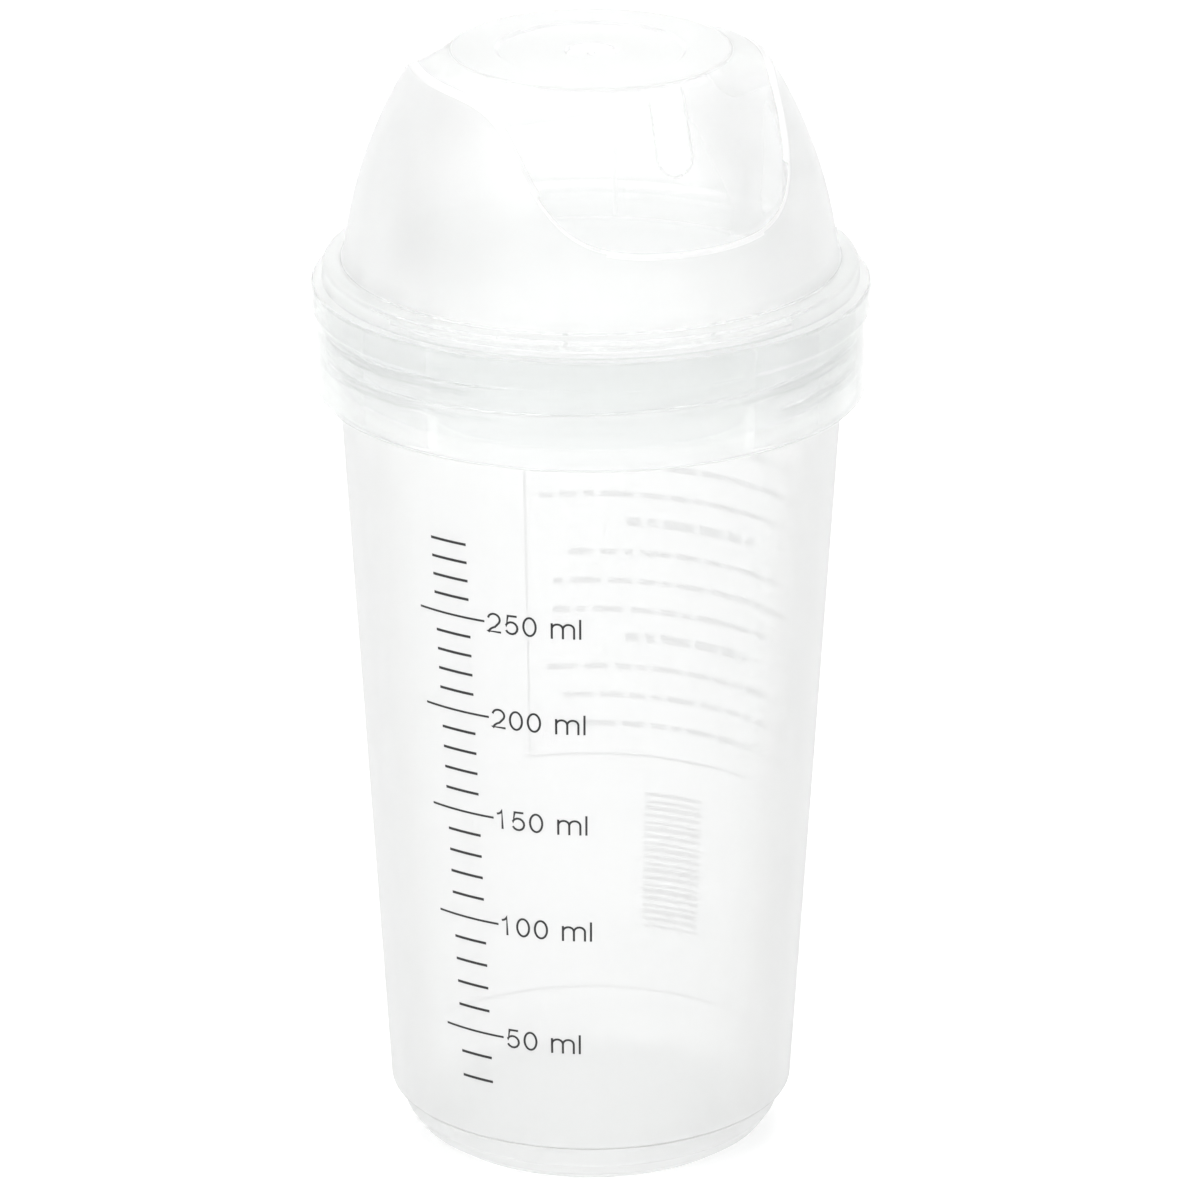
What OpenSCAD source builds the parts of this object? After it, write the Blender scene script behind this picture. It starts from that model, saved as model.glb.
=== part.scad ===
// Protein shaker: a tapered measuring beaker with a two-start screw neck, a domed screw lid with two
// scooped finger grips, a seal ring and a mixing grid that clips into the lid.
// Origin: centre of the foot, on the surface that the beaker stands on. +Z up, finger grips face +Y and -Y.

/* [Beaker] */
// Height of the beaker up to its rim
cup_h = 131.3; // [131.3:0.1:131.8]
// Outer radius that the tapered wall would have at the table
cup_r0 = 29.1; // [28.8:0.05:29.2]
// Growth of the wall's radius per millimetre of height
cup_taper = 0.0609; // [0.058:0.0005:0.062]
// Wall thickness that the beaker would have at the table
wall_low = 1.65; // [1.5:0.05:1.7]
// Wall thickness of the beaker at its neck
wall_top = 1.2; // [1.1:0.05:1.3]
// Height of the underside of the ledge that ends the tapered wall
ledge_z = 7.3; // [7.2:0.1:8]
// Radius of the narrow base below the ledge
base_r = 28; // [27.6:0.1:28.2]
// Radius of the rounding between base and foot
foot_round = 6.2; // [5:0.1:6.4]

/* [Screw thread] */
// Outer radius of the straight neck under the threads
neck_r = 36.7; // [36.6:0.05:36.8]
// Rise of the thread in one turn
lead = 7.2; // [6.8:0.1:7.2]
// Number of starts
starts = 2; // [2:1:2]
// Height of a thread above the wall that carries it
thread_h = 1.0; // [0.8:0.05:1]

/* [Lid] */
// Outer radius of the lid's skirt
skirt_r = 39.4; // [39.4:0.1:39.7]
// Height of the skirt's lower edge
skirt_z = 115; // [114:0.5:117]
// Outer radius of the bead round the top of the skirt
bead_r = 40; // [40:0.1:41]
// Outer radius of the flange under the dome
flange_r = 38.35; // [38:0.05:38.6]
// Height of the flange's top
flange_z = 133.9; // [133.8:0.1:134.2]
// Radius of the arc that the dome's side follows
dome_arc_r = 68; // [66:0.5:70]
// Radius of the flat disc on top of the dome
disc_r = 20; // [18:0.5:21]
// Height of the flat disc, which is the height of the whole shaker
disc_z = 164.8; // [164:0.1:166]
// Wall thickness of the dome
dome_wall = 1.2; // [1:0.05:1.4]

/* [Finger grips] */
// Height of the lowest point of a grip
grip_low_z = 144.2; // [144:0.1:148]
// Height of the dome's two ears, between the grips
grip_high_z = 163; // [160:0.1:163]
// Half of the angle that a grip takes up at half its height
grip_half_angle = 41.5; // [35:0.5:45]
// Angle over which a grip's edge climbs; smaller is steeper
grip_edge_angle = 7; // [6:0.5:9]
// Depth of the step round a grip
grip_step = 0.8; // [0.4:0.1:1]

/* [Mixing grid] */
// Outer radius of the grid's two snap lips
lip_r = 33.7; // [33.6:0.05:33.8]
// Underside of the grid
grid_z = 121.5; // [119:0.5:122]
// Number of spokes
spokes = 12; // [8:2:16]
// Width of the bars of the grid
bar = 1.3; // [1:0.1:1.6]

/* [Print] */
// Thickness of the printed ink
ink = 0.06; // [0.05:0.01:0.1]
// Azimuth of the middle of the short graduation marks at half their height, from the front towards +X
scale_az = -58.9; // [-70:0.1:-50]
// Lean of the column of marks, in degrees of azimuth per millimetre of height
scale_lean = -0.0216; // [-0.03:0.0002:0]
// Lowest mark of the scale, in millilitres
first_ml = 30; // [20:10:50]
// Highest mark of the scale, in millilitres
last_ml = 290; // [250:10:290]

/* [Hidden] */
$fn = 96;

ARC_STEPS = 6;
// Beaker
shelf_z = ledge_z + 2.5;       // the inside narrows to the base below this height
wall_top_z = 115;              // the taper ends here
neck_z = 117.5;                // the straight neck begins here
rim_round = 0.45;
foot_r = base_r - foot_round - 0.1;
push_up_r = 19.5;              // recess under the floor
push_up_h = 1.0;
floor_t = 1.5;
// Threads
thread_root_w = 2.0;
thread_crest_w = 0.8;
thread_step = 8;               // degrees between sections
thread_fade = 20;              // degrees over which an end runs out
thread_sink = 0.35;            // how deep a thread is rooted in its wall
cup_thread_top = 128.2;
cup_thread_turn = 400;
cup_thread_end_az = -6;        // the end of the first start, from the front
lid_thread_turn = 304;
lid_thread_end_az = -40;
// The lid's threads run halfway between the beaker's
lid_thread_top = cup_thread_top - lead / starts / 2 + lead * (lid_thread_end_az - cup_thread_end_az) / 360;
// Volume below the shelf in millilitres
foot_ml = 12.4;
// Lid
skirt_in_r = skirt_r - 1.3;
ceiling_z = 132.3;
bead_low_z = 126.7;
bead_high_z = 131.1;
plug_r = 35.3;
plug_in_r = 34;
plug_z = 127;
snap_r = 33.3;
snap_h = 0.8;
dome_arc_c = [-32.16, 126.7];
dome_low_z = 133.0;
dome_columns = 96;
disc_inner_r = 17;
dish_r = 13.6;
dish_depth = 0.45;
gate_r = 3.8;
gate_depth = 0.9;
rib_count = 10;
rib_w = 0.8;
rib_low_z = 129.3;
rib_high_z = 140;
rib_az = -31;                  // azimuth of one rib
tongue_w = 5.8;
tongue_relief = 0.4;
tongue_top = 1.4;              // its upper end, measured down the grip from the disc
tongue_foot = 13.7;            // its rounded lower end, measured the same way
tongue_shift = 0.45;           // how far the foot lies beside the grip's middle
tongue_lean = 6.3;             // degrees by which it leans from there
tongue_root = 0.6;             // how deep it is rooted in the grip
// Mixing grid
fit_gap = 0.2;
grid_t = 1.4;
grid_rim_t = 1.2;
ring_count = 4;
hub_r = 3;
hub_rise = 0.6;                // the hub stands this far above the rings
bar_drop = 0.2;                // the spokes end a little below the rings
spoke_root = 0.3;              // how deep a spoke is rooted in the rim
// Graduation marks, widths in millimetres and angles in degrees
mark_step_ml = 10;
long_mark_ml = 50;
short_mark = [9.7, 0.4];       // angle and width
long_mark = [18.4, 0.32];
long_mark_left = 9.6;          // a long mark starts this far left of the column's middle
scale_mid_z = 60;              // the column leans about this height
// Information print on the back: a framed panel of bars, and a block of stripes below it
panel_az = 84;
panel_angle = 88;
panel_z = [44.5, 108];
panel_line = [0.35, 0.6];      // width of the frame's level lines, and angle of its upright ones
row_count = 9;
row_top_z = 100.5;
row_pitch = 6;
row_half = 0.7;
row_inset = 8;                 // the rows start and end this many degrees inside the frame, in three lengths
row_inset_step = 3;
heading_every = 4;             // every fourth row is a shorter and bolder one
heading_inset = 26;
heading_rise = 1.2;
block_az = 123;
block_angle = 17;
block_z = 17.5;
stripe_count = 20;
stripe_pitch = 1.1;
stripe_w = [0.35, 0.5, 0.65];

function unit(v) = v / norm(v);
function on_axis(p) = [p[0], p[1]];

// Points of a corner b between a and c, rounded with radius b[2]
function corner(a, b, c) =
    b[2] == 0 ? [on_axis(b)] :
    let (u = unit(on_axis(a) - on_axis(b)),
         v = unit(on_axis(c) - on_axis(b)),
         half = acos(u * v) / 2,
         centre = on_axis(b) + unit(u + v) * b[2] / sin(half),
         from = on_axis(b) + u * b[2] / tan(half) - centre,
         to = on_axis(b) + v * b[2] / tan(half) - centre,
         a0 = atan2(from[1], from[0]),
         turn = atan2(to[1], to[0]) - a0,
         sweep = turn > 180 ? turn - 360 : turn < -180 ? turn + 360 : turn)
    [for (i = [0 : ARC_STEPS]) let (a = a0 + sweep * i / ARC_STEPS) centre + b[2] * [cos(a), sin(a)]];

// Closed outline of [x, y, rounding] corners
function rounded(p) =
    let (n = len(p))
    [for (i = [0 : n - 1]) each corner(p[(i + n - 1) % n], p[i], p[(i + 1) % n])];

// Azimuths run from the front, -Y, towards +X
function turn_of(az) = az - 90;

// Faces of a grid of closed loops, which wraps round in both directions or ends in two caps
function loop_faces(loops, points, wrap) = concat(
    [for (i = [0 : loops - (wrap ? 1 : 2)]) for (j = [0 : points - 1])
        let (a = i * points + j, b = i * points + (j + 1) % points,
             c = ((i + 1) % loops) * points + j, d = ((i + 1) % loops) * points + (j + 1) % points)
        each [[a, b, d], [a, d, c]]],
    wrap ? [] : [[for (j = [points - 1 : -1 : 0]) j], [for (j = [0 : points - 1]) (loops - 1) * points + j]]);

// One screw thread. It ends at azimuth end_az and height top, and stands out from radius r where side is 1,
// or in where side is -1.
module thread(r, side, top, turn, end_az) {
    sections = ceil(turn / thread_step);
    points = [for (i = [0 : sections])
        let (t = turn * i / sections,
             fade = min(1, t / thread_fade, (turn - t) / thread_fade),
             h = thread_h * (0.25 + 0.75 * sin(90 * fade)),
             crest = thread_crest_w / 2 * (0.4 + 0.6 * fade),
             root = thread_root_w / 2 * (0.6 + 0.4 * fade),
             z = top - lead * (turn - t) / 360,
             a = turn_of(end_az - (turn - t)))
        for (p = [[-thread_sink, -root], [h, -crest], [h, crest], [-thread_sink, root]])
            let (rr = r + side * p[0]) [rr * cos(a), rr * sin(a), z + side * p[1]]];
    polyhedron(points, loop_faces(sections + 1, 4, false), convexity = 4);
}

// Outer and inner radius of the tapered wall at a height
function cup_r(z) = cup_r0 + cup_taper * z;
function cup_in_r(z) = cup_r(z) - wall_low + (wall_low - wall_top) * z / neck_z;

module cup() {
    outline = rounded([
        [0, push_up_h, 0], [push_up_r - 0.6, push_up_h, 0.4], [push_up_r, 0, 0.3],
        [foot_r + foot_round, 0, foot_round], [base_r, ledge_z - 0.3, 0.5], [cup_r(ledge_z), ledge_z, 0.35],
        [cup_r(wall_top_z), wall_top_z, 0], [neck_r, neck_z, 2],
        [neck_r, cup_h, rim_round], [neck_r - wall_top, cup_h, rim_round],
        [neck_r - wall_top - 0.05, neck_z, 0.5], [cup_in_r(shelf_z), shelf_z, 1],
        [base_r - wall_low, ledge_z + 0.3, 1.5], [base_r - wall_low, floor_t, foot_round - 1],
        [push_up_r - 1, floor_t, 1], [push_up_r - 1.8, push_up_h + floor_t, 0.6], [0, push_up_h + floor_t, 0]]);
    color("whitesmoke", 0.6) union() {
        rotate_extrude() polygon(outline);
        for (k = [0 : starts - 1])
            thread(neck_r, 1, cup_thread_top, cup_thread_turn, cup_thread_end_az + 360 * k / starts);
    }
}

// The dome's side is an arc; a is the angle of its normal above the horizontal
function dome_a(z) = asin((z - dome_arc_c[1]) / dome_arc_r);
function dome_p(a, inset) = dome_arc_c + (dome_arc_r - inset) * [cos(a), sin(a)];
// Height of a grip's edge, phi degrees away from the grip's middle
function grip_z(phi) =
    grip_low_z + (grip_high_z - grip_low_z) / (1 + exp((grip_half_angle - phi) / grip_edge_angle));
function from_grip(az) = abs((az + 450) % 180 - 90);

// One side of the dome's wall at an azimuth: up the arc to the grip's edge, over the step, and up the grip
function dome_side(az, inset, disc_edge) =
    let (arc_steps = 6, slope_steps = 4,
         low = dome_a(dome_low_z), high = dome_a(grip_z(from_grip(az))), foot = dome_p(high, inset + grip_step))
    concat([for (i = [0 : arc_steps]) dome_p(low + (high - low) * i / arc_steps, inset)],
           [for (i = [0 : slope_steps]) foot + (disc_edge - foot) * i / slope_steps]);

function reversed(v) = [for (i = [len(v) - 1 : -1 : 0]) v[i]];

module dome() {
    loops = [for (i = [0 : dome_columns - 1]) let (az = 360 * i / dome_columns) concat(
        dome_side(az, 0, [disc_r, disc_z]),
        [[disc_inner_r, disc_z], [disc_inner_r, disc_z - dome_wall - 0.1]],
        reversed(dome_side(az, dome_wall, [disc_r - 0.9, disc_z - dome_wall - 0.1])))];
    polyhedron([for (i = [0 : dome_columns - 1]) for (p = loops[i])
                   let (a = turn_of(360 * i / dome_columns)) [p[0] * cos(a), p[0] * sin(a), p[1]]],
               loop_faces(dome_columns, len(loops[0]), true), convexity = 6);
}

// The disc that closes the dome, with a shallow dish and the gate mark in its middle
module top_disc() {
    low = disc_z - dome_wall - 0.1;
    rotate_extrude() polygon(rounded([
        [0, low - gate_depth + 0.2, 0], [gate_r + 1, low - gate_depth + 0.2, 0.4], [gate_r + 2, low, 0.4],
        [disc_inner_r + 0.6, low, 0], [disc_inner_r + 0.6, disc_z, 0],
        [dish_r, disc_z, 0.2], [dish_r - 0.5, disc_z - dish_depth, 0.2],
        [gate_r, disc_z - dish_depth, 0.2], [gate_r - 0.3, disc_z - gate_depth, 0.2],
        [0.6, disc_z - gate_depth, 0], [0.5, disc_z - gate_depth + 0.3, 0], [0, disc_z - gate_depth + 0.3, 0]]));
}

module collar() {
    shoulder_r = dome_p(dome_a(flange_z), 0)[0];
    outline = rounded([
        [skirt_in_r, skirt_z, 0.3], [skirt_r, skirt_z, 0.4], [skirt_r, bead_low_z, 0.2],
        [bead_r, bead_low_z + 0.5, 0.5], [bead_r, bead_high_z, 0.6],
        [flange_r, bead_high_z + 0.1, 0.3], [flange_r, flange_z - 0.1, 0.6],
        [shoulder_r + 0.6, flange_z, 0], [shoulder_r - 0.3, flange_z + 0.5, 0],
        [plug_in_r, flange_z + 0.5, 0], [plug_in_r, plug_z + 1.6, 0], [snap_r, plug_z + snap_h, 0.3],
        [snap_r, plug_z, 0.3], [plug_r - 0.3, plug_z, 0.3], [plug_r, plug_z + 2, 0.5],
        [plug_r, ceiling_z, 0], [skirt_in_r, ceiling_z, 0]]);
    rotate_extrude() polygon(outline);
}

// Vertical ribs inside the foot of the dome, which centre the mixing grid
module ribs() {
    for (k = [0 : rib_count - 1])
        rotate(turn_of(rib_az + 360 * k / rib_count))
            translate([snap_r, -rib_w / 2, rib_low_z]) cube([1, rib_w, rib_high_z - rib_low_z]);
}

// Raised tongue on the middle of the front grip, laid along the grip's slope
module tongue() {
    foot = dome_p(dome_a(grip_low_z), grip_step);
    slope = atan2(disc_z - foot[1], foot[0] - disc_r);
    half = tongue_w / 2;
    rotate(turn_of(0)) translate([disc_r, 0, disc_z]) rotate([0, slope, 0])
        translate([tongue_foot, tongue_shift, -tongue_root]) rotate(180 - tongue_lean)
            linear_extrude(tongue_root + tongue_relief) {
                translate([half, 0]) circle(r = half);
                translate([half, -half]) square([tongue_foot - tongue_top - half, tongue_w]);
            }
}

module lid() {
    color("white", 0.5) union() {
        dome();
        top_disc();
        collar();
        ribs();
        tongue();
        for (k = [0 : starts - 1])
            thread(skirt_in_r, -1, lid_thread_top, lid_thread_turn, lid_thread_end_az + 360 * k / starts);
    }
}

module seal_ring() {
    color("gainsboro") rotate_extrude()
        polygon(rounded([[plug_r + fit_gap, cup_h, 0.15], [skirt_in_r - fit_gap, cup_h, 0.15],
                         [skirt_in_r - fit_gap, ceiling_z, 0], [plug_r + fit_gap, ceiling_z, 0]]));
}

module mixing_grid() {
    rim_r = snap_r - fit_gap;
    rim_in = rim_r - grid_rim_t;
    low_lip = plug_z - fit_gap;
    high_lip = plug_z + snap_h + fit_gap;
    color("white", 0.7) union() {
        rotate_extrude() polygon(rounded([
            [rim_in, grid_z, 0], [rim_r, grid_z, 0.5], [rim_r, low_lip - 1.6, 0.4],
            [lip_r, low_lip - 1.1, 0.2], [lip_r, low_lip, 0.2], [rim_r, low_lip, 0.1],
            [rim_r, high_lip + 0.4, 0.1], [lip_r, high_lip + 0.5, 0.2],
            [lip_r - 0.1, high_lip + 1.2, 0.3], [rim_in, high_lip + 1.2, 0.3]]));
        for (k = [0 : ring_count - 1])
            let (r = rim_in * (k + 0.9) / (ring_count + 0.7))
                rotate_extrude() translate([r - bar / 2, grid_z]) square([bar, grid_t]);
        for (k = [0 : spokes / 2 - 1])
            rotate(360 * k / spokes) translate([-rim_in - spoke_root, -bar / 2, grid_z])
                cube([2 * (rim_in + spoke_root), bar, grid_t - bar_drop]);
        translate([0, 0, grid_z]) cylinder(r = hub_r, h = grid_t + hub_rise);
    }
}

// A patch of ink on the tapered wall, from azimuth az over an angle and from z0 up to z1.
// A cutter reaches from depth below the wall to more than the ink's thickness above it.
module ink_patch(az, angle, z0, z1, depth = 0, thick = ink) {
    rotate(turn_of(az)) rotate_extrude(angle = angle) polygon([
        [cup_r(z0) - depth, z0], [cup_r(z0) + thick, z0], [cup_r(z1) + thick, z1], [cup_r(z1) - depth, z1]]);
}

// A thin rectangular outline of ink
module ink_frame(az, angle, z0, z1, line, line_angle) {
    difference() {
        ink_patch(az, angle, z0, z1);
        ink_patch(az + line_angle, angle - 2 * line_angle, z0 + line, z1 - line, 0.5, 0.5);
    }
}

// Height at which the beaker holds a volume: the foot's own volume below the shelf, then a cone's frustum
function fill_z(ml) =
    let (in_taper = (cup_in_r(neck_z) - cup_in_r(0)) / neck_z,
         cubed = pow(cup_in_r(shelf_z), 3) + 3 * in_taper * (ml - foot_ml) * 1000 / PI)
    (pow(cubed, 1 / 3) - cup_in_r(0)) / in_taper;

module measuring_scale() {
    color("black") for (ml = [first_ml : mark_step_ml : last_ml])
        let (long = ml % long_mark_ml == 0,
             mark = long ? long_mark : short_mark,
             left = long ? long_mark_left : short_mark[0] / 2,
             z = fill_z(ml),
             az = scale_az + scale_lean * (z - scale_mid_z))
            ink_patch(az - left, mark[0], z - mark[1] / 2, z + mark[1] / 2);
}

module info_print() {
    color("dimgray") {
        ink_frame(panel_az, panel_angle, panel_z[0], panel_z[1], panel_line[0], panel_line[1]);
        for (row = [0 : row_count - 1])
            let (heading = row % heading_every == 0,
                 z = row_top_z - row_pitch * row,
                 inset = heading ? heading_inset : row_inset + row_inset_step * (row % 3))
                ink_patch(panel_az + inset, panel_angle - 2 * inset,
                          z - row_half, z + (heading ? heading_rise : row_half));
        for (k = [0 : stripe_count - 1])
            let (z = block_z + stripe_pitch * k)
                ink_patch(block_az, block_angle, z, z + stripe_w[k * 7 % 3]);
    }
}

cup();
lid();
seal_ring();
mixing_grid();
measuring_scale();
info_print();
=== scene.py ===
"""A 300 ml protein shaker: a frosted beaker with a printed scale, a clear domed screw lid, a seal ring and a
mixing grid."""
import math

import bmesh
import bpy
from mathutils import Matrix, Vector


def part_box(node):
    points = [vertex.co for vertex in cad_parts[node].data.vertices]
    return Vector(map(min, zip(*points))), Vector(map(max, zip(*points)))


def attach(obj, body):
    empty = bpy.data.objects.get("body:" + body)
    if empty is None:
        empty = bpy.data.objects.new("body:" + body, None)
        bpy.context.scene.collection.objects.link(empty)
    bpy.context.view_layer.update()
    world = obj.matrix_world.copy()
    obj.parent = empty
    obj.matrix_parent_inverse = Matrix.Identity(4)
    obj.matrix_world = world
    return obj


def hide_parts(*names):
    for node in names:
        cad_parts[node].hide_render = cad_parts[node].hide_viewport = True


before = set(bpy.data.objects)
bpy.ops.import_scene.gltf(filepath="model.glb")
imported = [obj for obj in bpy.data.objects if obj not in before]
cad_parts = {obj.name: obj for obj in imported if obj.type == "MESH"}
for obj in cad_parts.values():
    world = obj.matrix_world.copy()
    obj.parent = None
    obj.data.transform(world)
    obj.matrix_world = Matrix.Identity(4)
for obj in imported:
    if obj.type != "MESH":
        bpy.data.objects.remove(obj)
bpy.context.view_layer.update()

# ------------------------------------------------------------------ sizes, in millimetres and degrees
MM = 0.001


def box_mm(node):
    low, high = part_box(node)
    return low / MM, high / MM


cup_high = box_mm("cup")[1]
lid_low, lid_high = box_mm("lid")
grid_low, grid_high = box_mm("mixing_grid")
seal_low, seal_high = box_mm("seal_ring")

# Beaker
CUP_H = cup_high.z
CUP_R0, CUP_TAPER = 29.1, 0.0609
WALL_LOW, WALL_TOP = 1.65, 1.2
WALL_TOP_Z, NECK_Z = 115.0, 117.5
LEDGE_Z, SHELF_Z = 7.3, 9.8
BASE_R, FOOT_ROUND = 28.0, 6.2
PUSH_UP_R, PUSH_UP_H, FLOOR_T = 19.5, 1.0, 1.5
NECK_R = 36.7
RIM_ROUND = 0.45
# Threads
LEAD, STARTS = 7.2, 2
THREAD_H, THREAD_HALF, CREST_HALF = 0.95, 0.84, 0.3
THREAD_FADE = 22
CUP_THREAD = {"top": 128.2, "turn": 400, "end_az": -6}
LID_THREAD = {"top": 125.72, "turn": 304, "end_az": -40}
# Lid
BEAD_R = lid_high.x
SKIRT_Z, DISC_Z = lid_low.z, lid_high.z
SKIRT_R = BEAD_R - 0.6
SKIRT_IN_R = SKIRT_R - 1.29
BEAD_LOW_Z, BEAD_HIGH_Z = 126.7, 131.1
FLANGE_R, FLANGE_Z = 38.35, 133.9
CEILING_Z = seal_high.z
PLUG_R, PLUG_IN_R, PLUG_Z = 35.3, 34.0, 127.0
SNAP_R, SNAP_H = 33.3, 0.8
DOME_WALL, DOME_ARC_R, DOME_ARC_C = 1.2, 68.0, (-32.16, 126.7)
GRIP_LOW_Z, GRIP_HIGH_Z, GRIP_HALF, GRIP_EDGE, GRIP_STEP = 144.2, 163.0, 41.5, 7.0, 0.8
GRIP_ROUND, STEP_SLANT = 0.8, 1.0
DISC_R, DISH_R, DISH_DEPTH, GATE_R, GATE_DEPTH = 20.0, 13.6, 0.45, 3.8, 0.9
TONGUE_HALF, TONGUE_RISE, TONGUE_FOOT, TONGUE_SHIFT, TONGUE_LEAN = 2.9, 0.4, 13.7, 0.45, 0.11
SLOPE_STEPS_AT = ((0, 0), (0.3, 0.36), (0.7, 0.53), (1, 1))
RIBS, RIB_AZ, RIB_W, RIB_LOW_Z, RIB_HIGH_Z = 10, -31, 0.8, 129.3, 140.0
# Print
INK, INK_FOOT = 0.05, 0.003
SHORT_LINE, LONG_LINE = 0.2, 0.16
SCALE_AZ, SCALE_LEAN, SCALE_MID_Z = -58.9, -0.0216, 60.0
SHORT_MARK, LONG_MARK_LEFT, LONG_MARK_RIGHT = 9.7, 9.6, 8.8
FOOT_ML = 12.4


def cup_r(z):
    return CUP_R0 + CUP_TAPER * z


def cup_in_r(z):
    return cup_r(z) - WALL_LOW + (WALL_LOW - WALL_TOP) * z / NECK_Z


# ------------------------------------------------------------------ outlines and meshes
ARC_STEPS = 4


def corner(before, at, after, steps=ARC_STEPS):
    """Points of the corner `at`, rounded with radius at[2]."""
    a, b, c = Vector(before[:2]), Vector(at[:2]), Vector(after[:2])
    if not at[2]:
        return [b]
    u, v = (a - b).normalized(), (c - b).normalized()
    half = math.acos(max(-1.0, min(1.0, u.dot(v)))) / 2
    centre = b + (u + v).normalized() * at[2] / math.sin(half)
    start = b + u * at[2] / math.tan(half) - centre
    end = b + v * at[2] / math.tan(half) - centre
    first = math.atan2(start.y, start.x)
    sweep = (math.atan2(end.y, end.x) - first + math.pi) % (2 * math.pi) - math.pi
    angles = [first + sweep * i / steps for i in range(steps + 1)]
    return [centre + at[2] * Vector((math.cos(angle), math.sin(angle))) for angle in angles]


def rounded(corners):
    """Open outline through [r, z, rounding] corners; the first and the last stay sharp."""
    points = [Vector(corners[0][:2])]
    for before, at, after in zip(corners, corners[1:], corners[2:]):
        points += corner(before, at, after)
    return points + [Vector(corners[-1][:2])]


def filled_in(points, longest, edge=0.25):
    """The same outline with long stretches divided, and a point close to each of their ends."""
    out = [points[0]]
    for a, b in zip(points, points[1:]):
        length = (b - a).length
        if length > 4 * edge:
            cuts = max(1, math.ceil((length - 2 * edge) / longest))
            steps = [edge + (length - 2 * edge) * i / cuts for i in range(cuts + 1)]
            out += [a.lerp(b, s / length) for s in steps]
        out.append(b)
    return out


def turned(name, columns, outline_at, closed=False):
    """A mesh of outlines turned round the axis: outline_at(azimuth) gives [(r, z)...], always as many points.
    An outline that starts or ends on the axis closes in a point there."""
    mesh = bmesh.new()
    loops = []
    poles = {}
    for az in columns:
        turn = math.radians(az - 90)
        loop = []
        for i, (r, z) in enumerate(outline_at(az)):
            if r < 1e-6:
                if i not in poles:
                    poles[i] = mesh.verts.new((0, 0, z * MM))
                loop.append(poles[i])
            else:
                loop.append(mesh.verts.new((r * math.cos(turn) * MM, r * math.sin(turn) * MM, z * MM)))
        loops.append(loop)
    for a, b in zip(loops, loops[1:] + loops[:1]):
        count = len(a)
        for i in range(count if closed else count - 1):
            j = (i + 1) % count
            corners = [a[i], b[i], b[j], a[j]]
            face = [v for k, v in enumerate(corners) if v is not corners[k - 1]]
            if len(face) > 2:
                mesh.faces.new(face)
    return finished(name, mesh)


def finished(name, mesh, smooth=True):
    bmesh.ops.recalc_face_normals(mesh, faces=mesh.faces)
    data = bpy.data.meshes.new(name)
    mesh.to_mesh(data)
    mesh.free()
    piece = bpy.data.objects.new(name, data)
    bpy.context.scene.collection.objects.link(piece)
    if smooth:
        for face in data.polygons:
            face.use_smooth = True
    return piece


def even_columns(count):
    return [360 * i / count for i in range(count)]


def ramp(x):
    x = max(0.0, min(1.0, x))
    return x * x * (3 - 2 * x)


def thread_height(az, z, top, turn, end_az):
    """How far the two-start thread stands out from its wall there."""
    height = 0.0
    for k in range(STARTS):
        back = (end_az + 360 * k / STARTS - az) % 360
        while back < turn:
            away = abs(z - (top - LEAD * back / 360))
            fade = min(1.0, back / THREAD_FADE, (turn - back) / THREAD_FADE)
            height = max(height, THREAD_H * ramp((THREAD_HALF - away) / (THREAD_HALF - CREST_HALF))
                         * math.sin(math.pi / 2 * fade))
            back += 360
    return height


# ------------------------------------------------------------------ beaker
def make_cup():
    inner_r = NECK_R - WALL_TOP
    low = rounded([
        [0, PUSH_UP_H, 0], [PUSH_UP_R - 0.6, PUSH_UP_H, 0.4], [PUSH_UP_R, 0, 0.3],
        [BASE_R - 0.1, 0, FOOT_ROUND], [BASE_R, LEDGE_Z - 0.3, 0.5], [cup_r(LEDGE_Z), LEDGE_Z, 0.35],
        [cup_r(WALL_TOP_Z), WALL_TOP_Z, 0.5], [NECK_R, NECK_Z, 2], [NECK_R, NECK_Z + 1.2, 0]])
    neck = rounded([[NECK_R, NECK_Z + 1.2, 0], [NECK_R, CUP_H - 0.6, 0]])
    inside = rounded([
        [NECK_R, CUP_H - 0.6, 0], [NECK_R, CUP_H, RIM_ROUND], [inner_r, CUP_H, RIM_ROUND],
        [inner_r - 0.05, NECK_Z, 0.5], [cup_in_r(SHELF_Z), SHELF_Z, 1],
        [BASE_R - WALL_LOW, LEDGE_Z + 0.3, 1.5], [BASE_R - WALL_LOW, FLOOR_T, FOOT_ROUND - 1],
        [PUSH_UP_R - 1, FLOOR_T, 1], [PUSH_UP_R - 1.8, PUSH_UP_H + FLOOR_T, 0.6],
        [0, PUSH_UP_H + FLOOR_T, 0]])
    outline = filled_in(low, 3)[:-1] + filled_in(neck, 0.17) + filled_in(inside, 3)[1:]

    def outline_at(az):
        return [(r + (thread_height(az, z, **CUP_THREAD) if abs(r - NECK_R) < 1e-6 else 0), z)
                for r, z in outline]

    return turned("beaker_shell", even_columns(320), outline_at)


# ------------------------------------------------------------------ lid
def dome_angle(z):
    return math.asin((z - DOME_ARC_C[1]) / DOME_ARC_R)


def dome_point(angle, inset):
    reach = DOME_ARC_R - inset
    return Vector((DOME_ARC_C[0] + reach * math.cos(angle), DOME_ARC_C[1] + reach * math.sin(angle)))


def grip_edge_z(az):
    """Height of the edge of the finger grips at an azimuth."""
    away = abs((az + 450) % 180 - 90)
    return GRIP_LOW_Z + (GRIP_HIGH_Z - GRIP_LOW_Z) / (1 + math.exp((GRIP_HALF - away) / GRIP_EDGE))


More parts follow.
